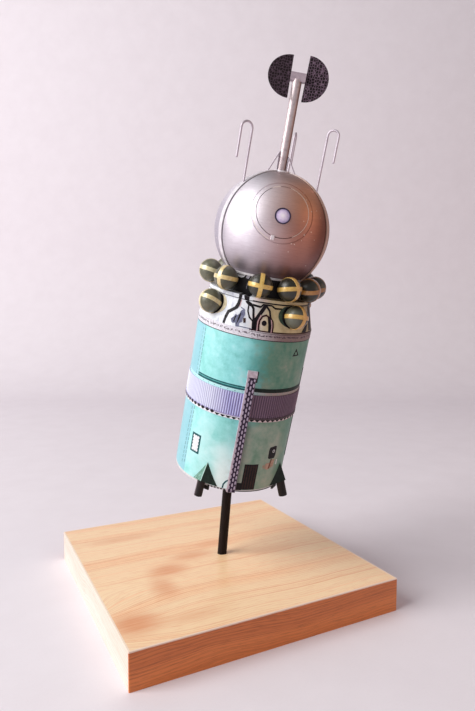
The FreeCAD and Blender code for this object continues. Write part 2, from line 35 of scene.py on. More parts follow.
# Stage
TANK_R = 31.0
TANK_HEIGHT = 84.8
TANK_TOP = 89.0
RING_PROUD = 0.15
HEM_PROUD = 0.55
RIB_VALLEY = 0.2
RIB_CREST = 0.45
DUCT_AZIMUTH = 6.7
DUCT_WIDTH = 4.6
DUCT_HEIGHT = 65.3
DUCT_PROUD = 1.7
FAIRING_AZIMUTH = -20.7
CONE_TOP = 102.5
CONE_TOP_R = 27.3
RIM_PROUD = 0.2
RIM_TOP = 104.8
DRUM_R = 22.0
LOWER_BOTTLES = (-50.0, 40.0, 130.0, 220.0)

# Capsule
BALL_R = 30.1
BALL_CENTRE = 136.55
HATCH = (8.1, 22.7)
PORTHOLE = (8.0, 17.4)
LENS_R = 4.2
STRAP_AZIMUTHS = (-57.0, 68.0, 172.0)
STRAP_HALF = 1.5

# Camera, solved from the block's corners
CAMERA_AT = Vector((-138.807, -296.906, 158.215))
CAMERA_YAW = 27.378
CAMERA_PITCH = -3.628
CAMERA_ROLL = 0.283
CAMERA_SENSOR = 36.0
CAMERA_LENS = 28.165

# Lamps, in metres and watts: place, width, height, power, colour
LAMPS_AIM = (0.0, 0.0, 0.15)
WINDOW = ((-1.6, 0.08, 1.094), 1.28, 1.6, 44.5, (1.0, 0.985, 0.97))
ROOM = ((1.0, -0.75, 0.35), 0.9, 0.9, 2.6, (1.0, 0.62, 0.40))
AIR_COLOR = (0.84, 0.84, 0.88, 1.0)
AIR_STRENGTH = 0.30

# How far the floor's colour is taken to white where it is seen straight, not in what it throws back
FLOOR_LIFT = 0.5

# Thickness of a layer of printed card laid on the surface, and how far it sinks in
PRINT_UP = 0.05
PRINT_DOWN = 0.03

# Wood: light, dark and red tone of each face's grain, and the pale top edge of the sides, a painted
# highlight
TOP_WOOD = ((255, 222, 178), (255, 198, 148), (226, 148, 96))
FRONT_WOOD = ((232, 134, 68), (194, 98, 44), (132, 56, 22))
# The left side's tones are much paler than the other sides': painted light
LEFT_WOOD_PAINTED_LIT = ((238, 229, 216), (228, 210, 190), (210, 174, 146))
PAINTED_HIGHLIGHT_EDGE = (252, 230, 210)
HIGHLIGHT_EDGE_HEIGHTS = (17.5, 17.9)
# Spacing of the printed year rings, as radians per millimetre
RING_TURN = 3.6
# Middle of the knot at the block's left edge
KNOT = (-80.0, -55.0)
# Soft darker patches: place, half width, half depth, strength
SMUDGES = (
    (-42.0, -27.0, 10.0, 17.0, 0.55), (-33.0, -9.0, 16.0, 12.0, 0.70), (-14.0, 3.0, 18.0, 9.0, 0.55),
    (5.0, 14.0, 17.0, 7.0, 0.35), (-66.0, -55.0, 18.0, 14.0, 0.85), (-40.0, -60.0, 24.0, 8.0, 0.35),
    (-45.0, 46.0, 34.0, 7.0, 0.45), (25.0, 38.0, 36.0, 4.0, 0.30), (35.0, -10.0, 30.0, 8.0, 0.25),
)

# Azimuths of the seam above the band, the blue strip's far edge, the dark line at the right, and
# where the double line turns into one
SEAM_UPPER = (-55.6, -51.7)
STRIP_END = -98.0
LIMB = (78.5, 83.0)
LINE_JOINS = 11.0
# Heights of the double line, the strip behind the band, the hem's change of tone and the ring's line
LINE_LOW = (57.4, 58.3)
LINE_HIGH = (58.85, 59.45)
BAND_STRIP = (50.0, 57.4)
HEM_SPLIT = 42.65
RING_LINE = (86.8, 87.7)
# Shapes along the hem, as points of x and height
HEM_TRIANGLE = ((-1.5, 42.35), (-0.22, 41.2), (0.22, 41.2), (1.5, 42.35))
HEM_DIAMOND = ((-1.42, 42.5), (-0.18, 41.5), (0.18, 41.5), (1.42, 42.5), (0.3, 43.25), (-0.3, 43.25))

# Inks: the two tones of each, and the material slot that it counts as
INKS = {
    "teal": ((14, 70, 78), (26, 92, 96), "fairing_card"),
    "between": ((78, 152, 152), (98, 172, 170), "fairing_card"),
    "black": ((12, 9, 13), (28, 21, 28), "drum_card"),
    "green_black": ((10, 22, 18), (22, 38, 30), "drum_card"),
    "maroon": ((40, 12, 20), (62, 24, 30), "nozzle_black"),
    "brown": ((44, 27, 25), (66, 42, 34), "nozzle_black"),
    "rust": ((104, 66, 54), (128, 86, 70), "nozzle_black"),
    "net": ((38, 26, 46), (54, 38, 62), "nozzle_black"),
    "white": ((222, 224, 228), (236, 236, 238), "seat_card"),
    "pale": ((148, 204, 214), (164, 216, 224), "seat_card"),
    "grey": ((108, 150, 152), (134, 172, 174), "tank_card"),
    "scrap": ((150, 148, 158), (184, 180, 190), "ring_card"),
    "pink": ((166, 134, 118), (192, 160, 142), "ring_card"),
    "rose": ((206, 160, 166), (222, 184, 188), "ring_card"),
    "slate": ((82, 84, 112), (124, 128, 152), "fairing_card"),
    "cell": ((164, 150, 172), (190, 176, 196), "duct_card"),
    # Pale ink on the ball: chips, and a painted highlight along the hatch's groove
    "chips_and_glints": ((226, 206, 190), (240, 226, 212), "strap_silver"),
}

# Lines drawn on the cone: width, then points of azimuth and height
BLACK_LINES = (
    (2.0, [(-19.5, 102.5), (-19.7, 100.4), (-21.4, 97.9)]),
    (1.7, [(-21.2, 98.1), (-28.4, 95.2), (-29.6, 92.2)]),
    (1.4, [(-29.5, 92.9), (-29.8, 89.2)]),
    (1.7, [(-12.4, 102.5), (-9.6, 101.5), (-6.4, 100.9)]),
    (1.15, [(-6.8, 101.1), (-3.6, 99.4), (-2.6, 96.5), (-0.9, 93.2)]),
    (2.7, [(-0.4, 94.0), (0.9, 89.2)]),
    (0.75, [(-9.1, 101.0), (-8.7, 97.7), (-5.9, 94.9), (-2.4, 93.6)]),
    (1.0, [(-5.6, 101.1), (3.6, 100.7)]),
    (0.8, [(3.4, 100.7), (5.6, 102.0), (14.5, 102.1), (18.7, 100.9), (25.8, 101.0), (28.6, 100.3)]),
    (1.95, [(8.4, 101.8), (3.8, 97.5), (0.6, 94.2), (0.8, 89.2)]),
    (1.0, [(8.6, 101.9), (13.1, 99.4), (14.6, 96.4)]),
    (1.6, [(13.2, 96.6), (14.9, 92.6), (15.3, 89.2)]),
    (0.5, [(-56.0, 102.2), (-40.0, 102.25)]),
)
MAROON_LINES = (
    (0.85, [(4.9, 89.2), (4.2, 92.0), (4.5, 94.3), (6.6, 96.4), (10.2, 97.2), (13.7, 96.2)]),
    (0.7, [(14.6, 96.6), (17.6, 94.5), (18.2, 91.8), (17.9, 89.2)]),
)
ROSE_LINES = (
    (0.35, [(3.2, 89.2), (2.7, 93.6), (4.8, 97.0)]),
    (0.35, [(16.7, 89.2), (16.9, 92.6), (15.6, 95.4)]),
    (0.3, [(-17.6, 102.4), (-17.9, 98.8)]),
)
# Printed rounds behind the lower bottles: half width in degrees, half height, middle
ROUND_OUTER = (17.2, 5.7, 97.7)
ROUND_INNER = (13.0, 6.0, 97.6)

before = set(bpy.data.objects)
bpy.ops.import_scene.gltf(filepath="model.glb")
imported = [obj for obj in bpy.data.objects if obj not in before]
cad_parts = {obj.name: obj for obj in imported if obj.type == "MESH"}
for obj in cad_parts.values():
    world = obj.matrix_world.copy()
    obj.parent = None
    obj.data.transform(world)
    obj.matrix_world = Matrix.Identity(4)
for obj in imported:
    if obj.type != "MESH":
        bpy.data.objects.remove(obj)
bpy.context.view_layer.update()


def stage_turn():
    towards = radians(LEAN_TOWARDS)
    hinge = Vector((-sin(towards), cos(towards), 0))
    return Matrix.Rotation(radians(LEAN), 3, hinge) @ Matrix.Rotation(radians(STAGE_TURN), 3, "Z")


TURN = stage_turn()


def on_stage(point):
    """A point of the stage's frame, in the row frame, in metres."""
    return (TURN @ Vector(point) + STAGE_FOOT) * MM


def around(azimuth, out, rise):
    """A point of the stage's frame by azimuth, distance from the axis and height."""
    angle = radians(azimuth)
    return Vector((out * sin(angle), -out * cos(angle), rise))


def heading(azimuth, latitude=0.0):
    """Direction from the axis by azimuth and latitude."""
    return around(azimuth, cos(radians(latitude)), sin(radians(latitude)))


def arc(azimuth):
    """Length along the tank's skin from its front to an azimuth."""
    return radians(azimuth) * TANK_R


def rgb(red, green, blue):
    """A colour as it looks on screen, 0 to 255, for a linear colour socket."""
    def linear(v):
        v /= 255
        return v / 12.92 if v <= 0.04045 else ((v + 0.055) / 1.055) ** 2.4
    return (linear(red), linear(green), linear(blue), 1.0)


class Field:
    """A number, colour or place that varies over the surface, with plain arithmetic."""

    def __init__(self, look, socket):
        self.look = look
        self.socket = socket

    def __add__(self, other):
        return self.look.math("ADD", self, other)

    def __sub__(self, other):
        return self.look.math("SUBTRACT", self, other)

    def __mul__(self, other):
        return self.look.math("MULTIPLY", self, other)

    def __truediv__(self, other):
        return self.look.math("DIVIDE", self, other)


def tone(color):
    """A field as it is, or a colour of 0 to 255 made linear."""
    return color if isinstance(color, Field) else rgb(*color)


class Look:
    """A Principled material under construction. Its place is in millimetres of the stage or block."""

    def __init__(self, name, stage=True, roughness=0.5, metallic=0.0, **more):
        self.material = bpy.data.materials.new(name)
        self.material.use_nodes = True
        self.tree = self.material.node_tree
        self.shader = self.tree.nodes["Principled BSDF"]
        self.put("Roughness", roughness)
        self.put("Metallic", metallic)
        for key, value in more.items():
            self.put(key.replace("_", " ").title().replace("Ior", "IOR"), value)
        made = self.node("Mapping", Vector=Field(self, self.node("TexCoord").outputs["Object"]))
        if stage:
            back = TURN.transposed()
            made.inputs["Location"].default_value = -(back @ STAGE_FOOT)
            made.inputs["Rotation"].default_value = back.to_euler()
        made.inputs["Scale"].default_value = (1 / MM, 1 / MM, 1 / MM)
        self.place = Field(self, made.outputs[0])
        parts = self.node("SeparateXYZ", Vector=self.place).outputs
        self.x, self.y, self.z = (Field(self, part) for part in parts)

    def join(self, socket, value):
        """Links a field to a socket, or sets the socket to a constant."""
        if isinstance(value, Field):
            self.tree.links.new(value.socket, socket)
        else:
            socket.default_value = value

    def put(self, name, value):
        self.join(self.shader.inputs[name], value)

    def node(self, kind, settings=None, **sockets):
        made = self.tree.nodes.new("ShaderNode" + kind)
        for key, value in (settings or {}).items():
            setattr(made, key, value)
        for key, value in sockets.items():
            self.join(made.inputs[key], value)
        return made

    def math(self, operation, *values):
        made = self.node("Math", {"operation": operation})
        for socket, value in zip(made.inputs, values):
            self.join(socket, value)
        return Field(self, made.outputs[0])

    def fade(self, value, start, end):
        """0 before start, 1 after end, smooth between; start may be the larger."""
        made = self.node("MapRange", {"interpolation_type": "SMOOTHSTEP"}, Value=value)
        made.inputs["From Min"].default_value = start
        made.inputs["From Max"].default_value = end
        return Field(self, made.outputs[0])

    def between(self, value, low, high, soft):
        return self.fade(value, low - soft, low + soft) * self.fade(value, high + soft, high - soft)

    def mix(self, share, first, second):
        made = self.node("Mix", {"data_type": "RGBA"})
        self.join(made.inputs[0], share)
        self.join(made.inputs[6], tone(first))
        self.join(made.inputs[7], tone(second))
        return Field(self, made.outputs[2])

    def paint(self, share, color):
        """Lays a colour over what is there."""
        self.color = self.mix(share, self.color, color)

    def ramp(self, value, *stops):
        made = self.node("ValToRGB", Fac=value)
        elements = made.color_ramp.elements
        while len(elements) < len(stops):
            elements.new(0.5)
        for element, (position, color) in zip(elements, stops):
            element.position = position
            element.color = rgb(*color)
        return Field(self, made.outputs["Color"])

    def clouded(self, cloud, low, high, spread=0.15):
        """From one colour to another as the cloud thickens."""
        return self.ramp(cloud, (0.5 - spread, low), (0.5 + spread, high))

    def scaled(self, x, y, z):
        made = self.node("Mapping", Vector=self.place)
        made.inputs["Scale"].default_value = (x, y, z)
        return Field(self, made.outputs[0])

    def joined(self, x, y, z):
        made = self.node("CombineXYZ")
        for socket, value in zip(made.inputs, (x, y, z)):
            self.join(socket, value)
        return Field(self, made.outputs[0])

    def noise(self, scale, detail=4.0, rough=0.6, bend=0.0, at=None):
        made = self.node("TexNoise", Vector=at or self.place, Scale=scale, Detail=detail, Roughness=rough)
        made.inputs["Distortion"].default_value = bend
        return Field(self, made.outputs[0])

    def cells(self, scale, at, feature="F1", loose=1.0):
        made = self.node("TexVoronoi", {"feature": feature}, Vector=at, Scale=scale)
        made.inputs["Randomness"].default_value = loose
        return Field(self, made.outputs["Distance"])

    @cached_property
    def azimuth(self):
        return self.math("ARCTAN2", self.x, self.y * -1.0) * degrees(1)

    @cached_property
    def out(self):
        """Distance from the stage's axis."""
        return self.math("SQRT", self.x * self.x + self.y * self.y)

    def rightwards(self, start, end):
        """0 before the start azimuth, 1 from the end on round to the back."""
        return self.fade(self.azimuth, start, end) * self.fade(self.azimuth, 172.0, 130.0)

    def leftwards(self, start, end, along=None):
        """0 after the start azimuth, 1 from the end on round to the back."""
        return self.fade(along or self.azimuth, start, end) * self.fade(self.azimuth, -176.0, -120.0)

    def done(self, roughness=None, height=None, depth=0.03, fibre=2.2):
        """Closes the material: colour, roughness, and relief of that height or else of card fibre."""
        self.put("Base Color", self.color)
        if roughness is not None:
            self.put("Roughness", roughness)
        height = height or self.noise(fibre, rough=0.65)
        self.put("Normal", Field(self, self.node("Bump", Height=height, Distance=depth * MM).outputs[0]))
        return self.material


# Materials of the stand

def grain_material(name, plane, light, dark, red, knot=False):
    """Laminate printed with pine grain that runs along the first axis of the plane."""
    look = Look(name, stage=False, roughness=0.38, coat_weight=0.12, coat_roughness=0.3)
    along, across = (getattr(look, axis) for axis in plane)
    swirl = look.noise(1.0, 2.0, 0.4, at=look.scaled(0.012, 0.02, 0.02))
    line = across + (swirl - 0.5) * 16.0
    if knot:
        line = knot_lines(look, along, across, line)
    rings = look.noise(0.55, 5.0, 0.62, at=look.joined(along * 0.006, line, 0.0))
    fine = look.noise(2.6, 3.0, at=look.joined(along * 0.05, line, 3.0))
    broad = look.noise(0.09, 2.0, 0.5, at=look.joined(along * 0.004, line, 7.0))
    year = look.fade(look.math("SINE", line * RING_TURN + rings * 16.0), 0.25, 1.0)
    clear = look.fade(broad, 0.44, 0.62) * (0.42 if knot else 0.16) + 0.14
    look.color = look.ramp(rings, (0.28, dark), (0.46, light), (0.60, light), (0.78, dark))
    look.paint(look.fade(broad, 0.50, 0.68) * 0.42, dark)
    look.paint(year * clear, red)
    look.paint(look.fade(fine, 0.50, 0.72) * 0.45, red)
    if knot:
        smudges(look, along, across, red)
    else:
        # Pale band along the top edge of the sides: painted highlight
        look.paint(look.fade(look.z + fine * 0.5, *HIGHLIGHT_EDGE_HEIGHTS) * 0.85, PAINTED_HIGHLIGHT_EDGE)
    return look.done(fine * 0.16 + 0.30, rings + fine * 0.4, 0.035)


def knot_lines(look, along, across, line):
    """Bends the grain so that it fans out of a knot at the block's left edge."""
    dx = along - KNOT[0]
    dy = across - KNOT[1]
    spread = dy / (dx * 0.018 + 0.35)
    near = look.fade(look.math("ABSOLUTE", dy), 44.0, 8.0)
    return line + look.fade(dx, 90.0, 10.0) * near * (spread - dy) * 0.6


def smudges(look, along, across, red):
    """Soft darker patches of the printed grain, broken up along the fibres."""
    fibre = look.noise(0.7, 3.0, at=look.joined(along * 0.03, across, 1.0))
    broken = fibre * 1.3 + 0.35
    for x, y, wide, deep, strength in SMUDGES:
        u = (along - x) / wide
        v = (across - y) / deep
        away = look.math("SQRT", u * u + v * v)
        look.paint(look.fade(away, 1.1, 0.1) * broken * strength, red)


def rod_material():
    """Black paint with streaks and a few chips."""
    look = Look("rod_black", stage=False, roughness=0.55, specular_ior_level=0.15)
    streak = look.noise(1.0, at=look.scaled(1.4, 1.4, 0.12))
    look.color = look.ramp(streak, (0.3, (12, 8, 9)), (0.75, (34, 22, 21)))
    look.paint(look.fade(look.noise(0.9, 3.0), 0.66, 0.76) * 0.35, (118, 108, 116))
    return look.done(streak * 0.3 + 0.36, streak, 0.05)


# Materials of the stage

def tank_material():
    """Sea-green card, mottled as if water-coloured. Paler to the left and low on the left is painted
    light, olive grey to the right is painted shade.
    """
    look = Look("tank_green", roughness=0.42, coat_weight=0.1, coat_roughness=0.3)
    wide = look.noise(0.07, 3.0, 0.5, 0.4)
    small = look.noise(0.3, 5.0, 0.62)
    mottle = wide * 0.6 + small * 0.4
    middle = look.ramp(
        mottle, (0.36, (96, 180, 174)), (0.46, (128, 210, 208)), (0.54, (146, 224, 224)),
        (0.64, (170, 234, 236)))
    pale = look.ramp(mottle, (0.36, (138, 214, 208)), (0.5, (160, 228, 226)), (0.64, (184, 238, 238)))
    brown = look.ramp(
        mottle, (0.36, (52, 112, 86)), (0.46, (80, 128, 102)), (0.56, (108, 138, 112)),
        (0.66, (140, 148, 126)))
    lower_olive_shade = look.ramp(mottle, (0.36, (104, 140, 116)), (0.5, (142, 160, 140)), (0.64, (170, 172, 154)))
    below = look.fade(look.z, 44.0, 36.0)
    edge = look.azimuth + (wide - 0.5) * 50.0 - below * 24.0
    # Paler to the left: painted light
    look.color = look.mix(look.leftwards(-8.0, -46.0, edge) * 0.85, middle, pale)
    # Paler patches low on the left and by the foot: painted light
    painted_light_wash = look.fade(look.z, 40.0, 22.0) * look.between(look.azimuth, -34.0, 0.0, 12.0)
    look.paint(painted_light_wash * look.fade(wide, 0.25, 0.6) * 0.75, (210, 242, 242))
    foot = look.fade(look.z, 30.0, 8.0) * look.between(look.azimuth, -14.0, 6.0, 8.0)
    look.paint(foot * 0.8, (240, 252, 252))
    # Olive grey to the right, lighter low down and right of the duct below the band: painted shade
    right = look.azimuth + (small - 0.5) * 34.0
    front = look.fade(look.azimuth, 170.0, 120.0)
    behind_duct = look.fade(look.azimuth, 6.4, 7.0) * front * below
    olive = look.mix(below * look.fade(right, 66.0, 46.0), brown, lower_olive_shade)
    look.paint(look.math("MAXIMUM", look.fade(right, -4.0, 26.0) * front, behind_duct) * 0.92, olive)
    # Dark strip right of the duct below the band: the duct's painted shadow
    look.paint(look.between(look.azimuth, 8.0, 14.0, 3.0) * below * 0.55, (70, 78, 74))
    beyond_seam = look.fade(look.z, 48.0, 52.0) * -3.4 - 50.0 - look.azimuth
    blue = look.fade(beyond_seam, -0.4, 0.2) * look.fade(look.azimuth, STRIP_END - 0.3, STRIP_END)
    look.paint(blue * 0.75, (138, 192, 208))
    # The strip behind the band turns beige to the right: painted shade
    strip = look.mix(look.fade(look.azimuth, 0.0, 30.0), (188, 234, 236), (176, 152, 148))
    look.paint(look.between(look.z, *BAND_STRIP, 0.1) * 0.85, strip)
    look.paint(look.fade(look.noise(1.5, 3.0), 0.55, 0.8) * 0.14, (90, 130, 118))
    return look.done(small * 0.16 + 0.36)


def ring_material():
    """White card with a violet stipple and a dark mottled line; it browns to the right, painted shade."""
    look = Look("ring_pink")
    dots = look.cells(1.25, look.joined(look.azimuth * arc(1), look.z, 0.0), loose=0.85)
    cloud = look.noise(0.35, 3.0)
    look.color = look.clouded(cloud, (214, 212, 222), (232, 230, 236))
    # Brown to the right: painted shade
    look.paint(look.rightwards(-8.0, 32.0) * 0.92, (128, 98, 90))
    look.paint(look.fade(dots, 0.40, 0.22) * look.fade(cloud, 0.38, 0.56) * 0.8, (112, 84, 108))
    wavy = look.z + (cloud - 0.5) * 1.6
    look.paint(look.between(wavy, *RING_LINE, 0.25) * look.fade(dots, 0.75, 0.42) * 0.9, (58, 38, 52))
    return look.done()


def band_material():
    """Lavender corrugated card. Darker in the valleys and maroon to the right of the duct are painted
    shade, near white to the left is painted light.
    """
    look = Look("band_lavender")
    cloud = look.noise(0.3, at=look.scaled(1.0, 1.0, 0.3))
    crest = look.clouded(cloud, (174, 176, 226), (200, 202, 240))
    shaded_valley = look.clouded(cloud, (104, 96, 152), (130, 122, 180))
    depth = look.fade(look.out, TANK_R + RIB_VALLEY + 0.04, TANK_R + RIB_CREST - 0.05)
    # Darker in the valleys: painted shade
    look.color = look.mix(depth, shaded_valley, crest)
    # Near white to the left: painted light. Maroon to the right of the duct: painted shade
    look.paint(look.leftwards(-6.0, -34.0) * 0.85, look.mix(depth, (186, 188, 218), (230, 234, 246)))
    look.paint(look.rightwards(6.0, 9.0) * 0.92, look.mix(depth, (58, 30, 44), (112, 76, 94)))
    return look.done(depth=0.04, fibre=1.6)


def hem_material():
    """Card below the ribs: a white lower edge and a violet line above, which turns maroon right of the
    duct, painted shade.
    """
    look = Look("hem_white")
    right = look.rightwards(5.0, 12.0)
    look.color = look.mix(right, (232, 232, 240), (226, 204, 206))
    # Maroon line to the right of the duct: painted shade
    upper = look.mix(right, (158, 150, 192), (56, 30, 42))
    look.paint(look.fade(look.z - HEM_SPLIT + right * 0.3, -0.15, 0.15), upper)
    look.paint(look.fade(look.noise(0.4, 3.0), 0.45, 0.7) * 0.25, (120, 104, 122))
    return look.done()


def duct_material():
    """Pinkish grey card."""
    look = Look("duct_pink")
    look.color = look.clouded(look.noise(0.5), (178, 160, 172), (208, 194, 204))
    return look.done()


def fairing_material():
    """Dark green card; its paler left half is painted light, the white line along the fold a painted
    highlight, and darker to the right painted shade.
    """
    look = Look("fairing_green", roughness=0.46, specular_ior_level=0.35)
    own = look.azimuth - FAIRING_AZIMUTH
    dark = look.clouded(look.noise(0.5), (18, 30, 26), (34, 60, 48), 0.2)
    stain = look.noise(0.9, at=look.scaled(1.0, 1.0, 0.4))
    pale = look.ramp(stain, (0.36, (58, 96, 80)), (0.5, (98, 142, 124)), (0.64, (140, 178, 166)))
    front = look.fade(look.azimuth, -90.0, -60.0)
    # Paler left half: painted light
    look.color = look.mix(look.fade(own, 0.25, -0.1) * front, dark, pale)
    # White line along the fold: painted highlight
    look.paint(look.between(own, -0.85, 0.0, 0.2) * front, (176, 204, 196))
    # Darker to the right: painted shade
    look.paint(look.rightwards(20.0, 40.0) * 0.6, (12, 16, 14))
    return look.done()


def nozzle_material():
    """Black-brown rolled card with a pale painted sheen on its left side."""
    look = Look("nozzle_brown", specular_ior_level=0.3)
    streak = look.noise(0.9, at=look.scaled(1.0, 1.0, 0.2))
    look.color = look.ramp(streak, (0.3, (16, 11, 12)), (0.6, (34, 24, 24)), (0.8, (60, 44, 44)))
    # Pale on the left side: painted sheen
    lit_flank = look.fade(look.azimuth, -23.4, -25.4) * look.fade(look.azimuth, -60.0, -40.0)
    look.paint(lit_flank * look.fade(streak, 0.25, 0.6) * 0.7, (150, 132, 138))
    return look.done(streak * 0.3 + 0.38, depth=0.05, fibre=1.4)


def cone_material():
    """White card with a pinkish haze by the arch; beige and brown to its right and bluish-grey patches on
    the left are painted shade.
    """
    look = Look("cone_cream", roughness=0.46, coat_weight=0.1, coat_roughness=0.3)
    cloud = look.noise(0.16)
    white = look.ramp(cloud, (0.35, (208, 214, 222)), (0.6, (234, 238, 242)))
    cream = look.ramp(cloud, (0.35, (186, 164, 118)), (0.6, (214, 196, 150)))
    # Beige to the right: painted shade
    look.color = look.mix(look.rightwards(-10.0, 18.0), white, cream)
    haze = look.between(look.azimuth, -4.0, 8.0, 5.0) * look.fade(cloud, 0.4, 0.6)
    look.paint(haze * 0.45, (214, 168, 158))
    # Bluish-grey patches on the left: painted shadows
    blotch = look.fade(look.noise(0.5, at=look.scaled(1.0, 1.0, 0.5)), 0.5, 0.66)
    look.paint(look.between(look.azimuth, -46.0, -14.0, 8.0) * blotch * 0.5, (158, 160, 184))
    # Brown far to the right: painted shade
    look.paint(look.rightwards(46.0, 80.0) * 0.75, (112, 86, 56))
    look.paint(look.fade(look.noise(1.1, rough=0.65), 0.58, 0.8) * 0.35, (120, 104, 92))
    return look.done()


def plain_card(name, low, high, grime, scale=0.4, roughness=0.5, specular=0.5):
    """Card of one colour with clouding, small marks and fibre."""
    look = Look(name, roughness=roughness, specular_ior_level=specular)
    look.color = look.clouded(look.noise(scale), low, high)
    look.paint(look.fade(look.noise(1.7, rough=0.65), 0.56, 0.78) * 0.45, grime)
    return look.done()


def rounds_material():
    """Straw-coloured print to the left, dark green to the right."""
    look = Look("ink_rounds")
    cloud = look.noise(0.8, 3.0)
    left = look.clouded(cloud, (196, 184, 148), (222, 210, 176))
    right = look.clouded(cloud, (36, 56, 46), (60, 84, 66))
    look.color = look.mix(look.rightwards(-10.0, 10.0), left, right)
    return look.done()


def bottle_material():
    """Dark olive paint, satin; greyer to the left is painted light, and the grey patch on the lower
    bottle at the right a painted highlight.
    """
    look = Look("bottle_olive", roughness=0.42, coat_weight=0.5, coat_roughness=0.36)
    cloud = look.noise(0.45)
    fine = look.noise(3.2, 3.0, 0.7)
    left = look.clouded(cloud, (82, 84, 66), (112, 110, 88), 0.18)
    right = look.clouded(cloud, (20, 20, 9), (42, 40, 22), 0.18)
    # Greyer to the left, darker to the right: painted light and shade
    look.color = look.mix(look.fade(look.azimuth, -58.0, 0.0), left, right)
    lower = look.fade(look.z, 104.0, 101.0)
    # Grey patch on the lower bottle at the right: painted highlight
    look.paint(look.between(look.azimuth, 22.0, 38.0, 5.0) * lower * 0.8, (100, 102, 86))
    look.paint(look.fade(fine, 0.66, 0.82) * 0.4, (146, 138, 110))
    return look.done(cloud * 0.2 + 0.32, fine)


def tape_material():
    """Tan tape, gold; straw-coloured to the left is painted light, orange brown to the right painted
    shade.
    """
    look = Look("tape_gold", roughness=0.36, metallic=0.1, coat_weight=1.0, coat_roughness=0.25)
    cloud = look.noise(0.8)
    fine = look.noise(2.6, 3.0, 0.7)
    look.color = look.clouded(cloud, (212, 170, 82), (238, 204, 118), 0.18)
    straw = look.clouded(cloud, (222, 208, 156), (240, 234, 200), 0.18)
    # Straw-coloured to the left: painted light
    look.paint(look.fade(look.azimuth, -8.0, -62.0), straw)
    # Orange brown to the right: painted shade
    look.paint(look.rightwards(16.0, 62.0) * 0.85, (196, 122, 42))
    look.paint(look.rightwards(46.0, 60.0) * 0.6, (104, 60, 28))
    look.paint(look.fade(fine, 0.6, 0.8) * 0.4, (132, 100, 52))
    return look.done(height=fine, depth=0.02)


# Materials of the capsule

def silver_material():
    """Silver paint with fine grain and specks; the orange to its right is a painted warm reflection, the
    darker right, bottom, top and left rim painted shade, and the dark line by each strap a painted
    shadow.
    """
    look = Look("ball_silver", roughness=0.48, metallic=0.72)
    x, y = look.x, look.y
    rise = look.z - BALL_CENTRE
    cloud = look.noise(0.05, rough=0.55)
    spray = look.noise(3.5, 3.0, 0.7)
    brushed = look.noise(1.0, rough=0.65, at=look.scaled(0.16, 0.16, 2.6))
    look.color = look.clouded(cloud, (222, 214, 222), (238, 232, 240))
    front = look.fade(y, 30.0, -4.0)
    # Orange to the right: painted warm reflection
    orange = look.mix(look.fade(rise, 2.0, 18.0), (180, 112, 84), (214, 142, 98))
    look.paint(look.fade(x, -12.0, 15.0) * front * 0.9, orange)
    # Dark brown far to the right: painted shade
    look.paint(look.fade(x, 16.0, 26.0) * front * 0.8, (100, 44, 28))
    # Darker towards the bottom and the top, and greyer at the left rim: painted shade
    look.paint(look.fade(rise, 3.0, -26.0) * 0.7, (116, 100, 112))
    look.paint(look.fade(rise, 22.5, 28.5) * 0.5, (122, 110, 112))
    look.paint(look.fade(x, -20.0, -28.0) * front * 0.5, (146, 144, 162))
    look.paint(look.fade(brushed, 0.45, 0.75) * 0.16, (92, 70, 70))
    specks = look.fade(look.cells(0.30, look.place), 0.09, 0.05) * look.fade(cloud, 0.46, 0.52)
    look.paint(specks * 0.9, (250, 240, 226))
    # Dark line beside each strap: the strap's painted shadow
    for azimuth in STRAP_AZIMUTHS:
        angle = radians(azimuth)
        side = look.math("ABSOLUTE", x * cos(angle) + y * sin(angle))
        ahead = x * sin(angle) - y * cos(angle)
        line = look.between(side, STRAP_HALF, STRAP_HALF + 0.5, 0.08)
        look.paint(line * look.fade(ahead, 2.0, 3.0) * 0.95, (28, 20, 26))
    return look.done(brushed * 0.16 + 0.40, spray + brushed * 0.6, 0.018)


def strap_material():
    """Painted strip, white; beige to the right is painted shade."""
    look = Look("strap_silver", roughness=0.42, metallic=0.35)
    cloud = look.noise(0.4)
    look.color = look.clouded(cloud, (222, 216, 222), (240, 236, 240))
    # Beige to the right: painted shade
    look.paint(look.fade(look.x, -4.0, 18.0) * 0.9, (196, 152, 128))
    return look.done(cloud * 0.2 + 0.34, look.noise(2.0, 3.0), 0.015)


def metal_material(name, base, stain, roughness, metallic, depth):
    """Bare metal with drawn streaks along the stage's axis and small stains."""
    look = Look(name, roughness=roughness, metallic=metallic)
    streak = look.noise(1.0, at=look.scaled(2.0, 2.0, 0.06))
    look.color = look.mix(look.fade(look.noise(0.5), 0.5, 0.75) * 0.4, base, stain)
    look.paint(streak * 0.2, stain)
    return look.done(streak * 0.12 + (roughness - 0.05), streak, depth)


def mast_material():
    """Tube, pale with mottling and streaks; brown on its right is a painted warm reflection."""
    look = Look("mast_tube", roughness=0.45, metallic=0.7)
    streak = look.noise(1.0, at=look.scaled(2.0, 2.0, 0.08))
    look.color = look.mix(look.fade(look.noise(0.5), 0.45, 0.7) * 0.5, (222, 208, 210), (164, 142, 146))
    # Brown on the right: painted warm reflection
    look.paint(look.rightwards(-6.0, 40.0), (128, 96, 90))
    look.paint(streak * 0.25, (120, 96, 96))
    return look.done(streak * 0.16 + 0.38, streak, 0.006)


def lens_material():
    """Pearly disc: white in the middle, violet grey towards its rim."""
    look = Look("lens_pearl", roughness=0.25, coat_weight=0.5, coat_roughness=0.1)
    made = look.node("VectorMath", {"operation": "DISTANCE"})
    look.join(made.inputs[0], look.place)
    look.join(made.inputs[1], BALL_R * heading(*PORTHOLE) + Vector((0, 0, BALL_CENTRE)))
    away = Field(look, made.outputs["Value"]) + (look.noise(0.9, 3.0) - 0.5) * 2.0
    look.put("Base Color", look.ramp(
        away / LENS_R, (0.12, (255, 246, 255)), (0.45, (232, 216, 244)), (0.85, (170, 152, 196))))
    return look.material


